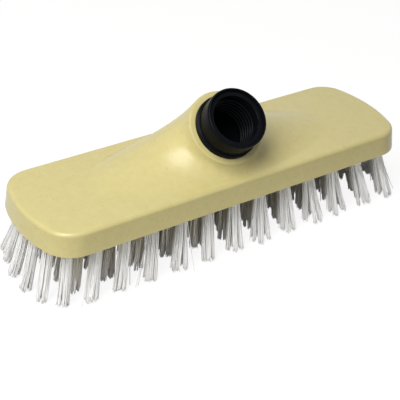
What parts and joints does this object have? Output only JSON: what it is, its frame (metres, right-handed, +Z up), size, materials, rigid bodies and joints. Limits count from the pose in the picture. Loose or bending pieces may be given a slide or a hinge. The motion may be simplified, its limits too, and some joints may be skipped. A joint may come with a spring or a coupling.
{
  "type": "scrub brush head",
  "caption": "Deck scrub brush head: a cream plastic block with rounded edges, a flared boss holding a tilted threaded handle socket, and fanned stiff white bristle tufts.",
  "frame": {"origin": "on the plane of the bristle tips, under the middle of the block", "axes": "+X along the block, +Z up from the tips to the block, the handle socket leans towards -Y"},
  "size_m": [0.232, 0.0662, 0.084],
  "materials": {
    "block": "satin moulded",
    "socket": "satin moulded",
    "bristle": "stiff filament",
    "anchor": "flat wire"
  },
  "bodies": {
    "root": {"brush_block": "block", "handle_socket": "socket", "tuft_row_01": "bristle", "tuft_row_02": "bristle", "tuft_row_03": "bristle", "tuft_row_04": "bristle", "tuft_row_05": "bristle", "tuft_row_06": "bristle", "tuft_row_07": "bristle", "tuft_row_08": "bristle", "tuft_row_09": "bristle", "tuft_row_10": "bristle", "tuft_row_11": "bristle", "tuft_row_12": "bristle", "tuft_row_13": "bristle", "anchor_row_01": "anchor", "anchor_row_02": "anchor", "anchor_row_03": "anchor", "anchor_row_04": "anchor", "anchor_row_05": "anchor", "anchor_row_06": "anchor", "anchor_row_07": "anchor", "anchor_row_08": "anchor", "anchor_row_09": "anchor", "anchor_row_10": "anchor", "anchor_row_11": "anchor", "anchor_row_12": "anchor", "anchor_row_13": "anchor"}
  },
  "joints": []
}
